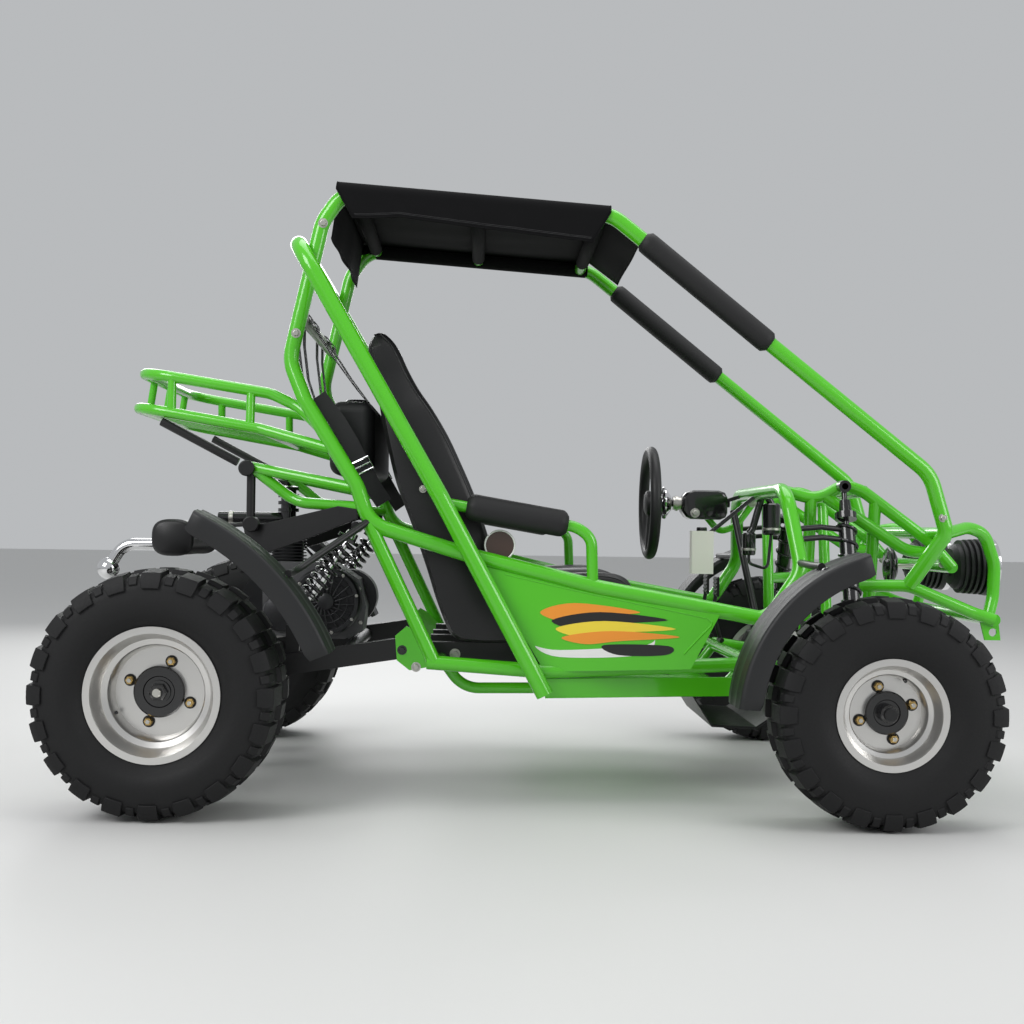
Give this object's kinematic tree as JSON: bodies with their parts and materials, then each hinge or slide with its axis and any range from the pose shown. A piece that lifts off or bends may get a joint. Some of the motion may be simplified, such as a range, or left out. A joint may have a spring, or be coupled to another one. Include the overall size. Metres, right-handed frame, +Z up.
{
  "type": "dune buggy",
  "caption": "Two-seat off-road buggy with a welded tube frame, cloth roof, rear rack, live rear axle and steered front wheels.",
  "frame": {"origin": "on the ground under the middle of the length and width", "axes": "+X forward, +Y to the driver's left, +Z up"},
  "size_m": [2.1322, 1.41, 1.3751],
  "materials": {
    "green_paint": "gloss",
    "tyre_rubber": "matte",
    "machined_rim": "satin",
    "seat_vinyl": "satin",
    "black_steel": "satin",
    "canopy_cloth": "matte",
    "foam_sleeve": "matte",
    "fender_plastic": "satin",
    "spring_steel": "gloss",
    "grey_steel": "satin",
    "wheel_grip": "satin",
    "lamp_glass": "gloss",
    "engine_alloy": "satin",
    "bottle_plastic": "gloss"
  },
  "bodies": {
    "chassis": {"armrest_pad_left": "foam_sleeve", "armrest_pad_right": "foam_sleeve", "canopy": "canopy_cloth", "dash_hoop": "green_paint", "engine_crankcase": "engine_alloy", "engine_cylinder": "engine_alloy", "exhaust": "black_steel", "floor_pan": "green_paint", "front_fender_left": "fender_plastic", "front_fender_right": "fender_plastic", "front_shocks": "spring_steel", "fuel_tank": "fender_plastic", "harness_bar": "grey_steel", "headlamp_lenses": "lamp_glass", "headlamps": "fender_plastic", "lower_frame": "green_paint", "main_hoop": "green_paint", "nose_frame": "green_paint", "pillar_pad_left": "foam_sleeve", "pillar_pad_right": "foam_sleeve", "rack_housing": "black_steel", "rack_struts": "black_steel", "rear_fender_left": "fender_plastic", "rear_fender_right": "fender_plastic", "rear_rack": "green_paint", "rear_shocks": "spring_steel", "rear_subframe": "green_paint", "reservoir": "bottle_plastic", "roof_crossbars": "green_paint", "roof_frame_left": "green_paint", "roof_frame_right": "green_paint", "seat_left": "seat_vinyl", "seat_mounts": "black_steel", "seat_right": "seat_vinyl", "shock_pins": "black_steel", "side_frame_left": "green_paint", "side_frame_right": "green_paint", "side_panel_left": "green_paint", "side_panel_right": "green_paint", "steering_column": "black_steel", "swing_arm": "black_steel", "transmission_cover": "engine_alloy", "wishbones": "black_steel"},
    "rear_axle": {"rear_axle": "black_steel", "rear_rim_right": "machined_rim", "rear_rim_left": "machined_rim", "rear_tyre_right": "tyre_rubber", "rear_tyre_left": "tyre_rubber"},
    "steering_wheel": {"steering_wheel": "wheel_grip"},
    "steering_link": {"steering_link": "black_steel"},
    "tie_rods": {"tie_rods": "black_steel"},
    "knuckle_right": {"knuckle_right": "black_steel"},
    "knuckle_left": {"knuckle_left": "black_steel"},
    "front_wheel_right": {"front_rim_right": "machined_rim", "front_tyre_right": "tyre_rubber"},
    "front_wheel_left": {"front_rim_left": "machined_rim", "front_tyre_left": "tyre_rubber"}
  },
  "joints": [
    {"name": "rear_axle_spin", "type": "hinge", "parent": "chassis", "child": "rear_axle", "pos_m": [-0.811, 0, 0.254], "axis": [0, 1, 0], "continuous": true},
    {"name": "steering_turn", "type": "hinge", "parent": "chassis", "child": "steering_wheel", "pos_m": [0.28864, 0.2, 0.67204], "axis": [1, 0, 0], "range_deg": [-100, 100]},
    {"name": "steering_link_turn", "type": "hinge", "parent": "chassis", "child": "steering_link", "pos_m": [0.50823, 0.19713, 0.65462], "axis": [0.1497, -0.3188, -0.9359], "range_deg": [-101, 101]},
    {"name": "tie_rod_slide", "type": "slide", "parent": "chassis", "child": "tie_rods", "axis": [0, 1, 0], "range_m": [-0.0405, 0.0405]},
    {"name": "steer_right", "type": "hinge", "parent": "chassis", "child": "knuckle_right", "pos_m": [0.673, -0.545, 0.235], "axis": [0, 0, 1], "range_deg": [-25.5, 25.5]},
    {"name": "steer_left", "type": "hinge", "parent": "chassis", "child": "knuckle_left", "pos_m": [0.673, 0.545, 0.235], "axis": [0, 0, 1], "range_deg": [-25.5, 25.5]},
    {"name": "front_right_spin", "type": "hinge", "parent": "knuckle_right", "child": "front_wheel_right", "pos_m": [0.673, -0.616, 0.235], "axis": [0, 1, 0], "continuous": true},
    {"name": "front_left_spin", "type": "hinge", "parent": "knuckle_left", "child": "front_wheel_left", "pos_m": [0.673, 0.616, 0.235], "axis": [0, 1, 0], "continuous": true}
  ],
  "couplings": [
    {"joint": "steering_link_turn", "follows": "steering_turn", "ratio": 1},
    {"joint": "tie_rod_slide", "follows": "steering_turn", "m_per_rad": 0.02303},
    {"joint": "steer_right", "follows": "steering_turn", "ratio": -0.25},
    {"joint": "steer_left", "follows": "steering_turn", "ratio": -0.25}
  ]
}
